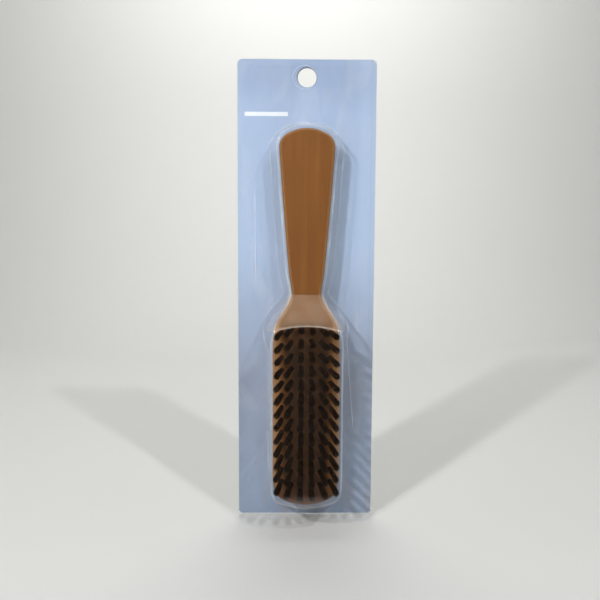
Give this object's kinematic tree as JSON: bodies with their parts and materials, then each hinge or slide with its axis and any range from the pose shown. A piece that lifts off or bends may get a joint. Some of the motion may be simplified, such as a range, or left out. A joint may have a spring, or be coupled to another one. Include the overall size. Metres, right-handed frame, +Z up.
{
  "type": "packed fade brush",
  "caption": "One-piece hair brush with rows of flared bristle tufts, held on a backing card by a clear slide blister with a hang hole.",
  "frame": {"origin": "centre of the card's hang hole, on the card's printed face", "axes": "+Z up the pack towards the hang hole, +X across it, -Y out of the printed face towards the bristles"},
  "size_m": [0.0762, 0.0328, 0.254],
  "materials": {
    "printed_board": "printed pale blue that darkens a little towards the foot, white margin at the edges, grey-white back",
    "clear_film": "clear, thin and glossy, with bright lines along its bends",
    "stained_wood": "brown stained wood, matt flat face with a lighter chamfered rim",
    "bristle": "blackish brown bristle, trimmed level",
    "anchor_steel": "plain galvanised wire"
  },
  "bodies": {
    "blister": {"blister_shell": "clear_film"},
    "card": {"backing_card": "printed_board"},
    "brush": {"brush_body": "stained_wood", "tuft_row_01": "bristle", "tuft_row_02": "bristle", "tuft_row_03": "bristle", "tuft_row_04": "bristle", "tuft_row_05": "bristle", "tuft_row_06": "bristle", "tuft_row_07": "bristle", "tuft_row_08": "bristle", "tuft_row_09": "bristle", "tuft_row_10": "bristle", "tuft_row_11": "bristle", "tuft_row_12": "bristle", "tuft_row_13": "bristle", "anchor_row_01": "anchor_steel", "anchor_row_02": "anchor_steel", "anchor_row_03": "anchor_steel", "anchor_row_04": "anchor_steel", "anchor_row_05": "anchor_steel", "anchor_row_06": "anchor_steel", "anchor_row_07": "anchor_steel", "anchor_row_08": "anchor_steel", "anchor_row_09": "anchor_steel", "anchor_row_10": "anchor_steel", "anchor_row_11": "anchor_steel", "anchor_row_12": "anchor_steel", "anchor_row_13": "anchor_steel"}
  },
  "joints": [
    {"name": "card_slide", "type": "slide", "parent": "blister", "child": "card", "axis": [0, 0, 1], "range_m": [0, 0.25]},
    {"name": "brush_play", "type": "slide", "parent": "blister", "child": "brush", "axis": [0, 0, 1], "range_m": [0, 0.001]}
  ]
}
